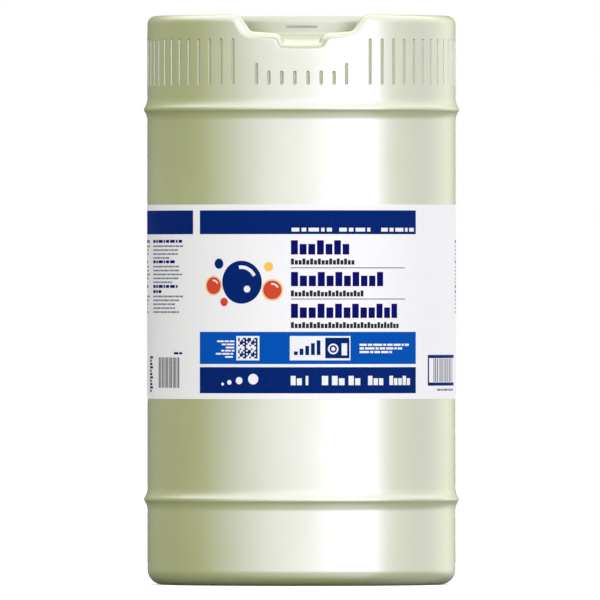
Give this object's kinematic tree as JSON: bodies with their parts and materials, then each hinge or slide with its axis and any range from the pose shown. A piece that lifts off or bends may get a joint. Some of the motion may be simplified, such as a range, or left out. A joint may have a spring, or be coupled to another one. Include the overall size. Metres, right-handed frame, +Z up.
{
  "type": "bleach drum",
  "caption": "Tall round closed-head plastic drum with rolling rings, grip grooves, a notched rim, screw bungs and a wrap-round label, filled with bleach.",
  "frame": {"origin": "centre of the foot ring, on the floor", "axes": "+Z up along the drum's axis; the front notch and the front of the label face -Y; the vented bung is at +X"},
  "size_m": [0.368, 0.368, 0.664],
  "materials": {
    "natural_polyethylene": "satin",
    "label_paper": "coated",
    "bleach": "liquid",
    "bung_plastic": "satin",
    "gasket_rubber": "matte",
    "membrane_film": "matte",
    "vent_plastic": "satin"
  },
  "bodies": {
    "drum": {"drum_body": "natural_polyethylene", "label": "label_paper", "bleach_fill": "bleach"},
    "plain_bung_lift": {"plain_bung_gasket": "gasket_rubber"},
    "plain_bung_screw": {"plain_bung": "bung_plastic"},
    "vented_bung_lift": {"vented_bung_gasket": "gasket_rubber"},
    "vented_bung_screw": {"vented_bung": "bung_plastic", "vent_membrane": "membrane_film", "vent_cap": "vent_plastic"}
  },
  "joints": [
    {"name": "plain_bung_rise", "type": "slide", "parent": "drum", "child": "plain_bung_lift", "axis": [0, 0, 1], "range_m": [0, 0.028]},
    {"name": "plain_bung_turn", "type": "hinge", "parent": "plain_bung_lift", "child": "plain_bung_screw", "pos_m": [-0.12, 0, 0.6525], "axis": [0, 0, 1], "range_deg": [0, 2010]},
    {"name": "vented_bung_rise", "type": "slide", "parent": "drum", "child": "vented_bung_lift", "axis": [0, 0, 1], "range_m": [0, 0.028]},
    {"name": "vented_bung_turn", "type": "hinge", "parent": "vented_bung_lift", "child": "vented_bung_screw", "pos_m": [0.12, 0, 0.6525], "axis": [0, 0, 1], "range_deg": [0, 2010]}
  ],
  "couplings": [
    {"joint": "plain_bung_rise", "follows": "plain_bung_turn", "m_per_rad": 0.00079577},
    {"joint": "vented_bung_rise", "follows": "vented_bung_turn", "m_per_rad": 0.00079577}
  ]
}
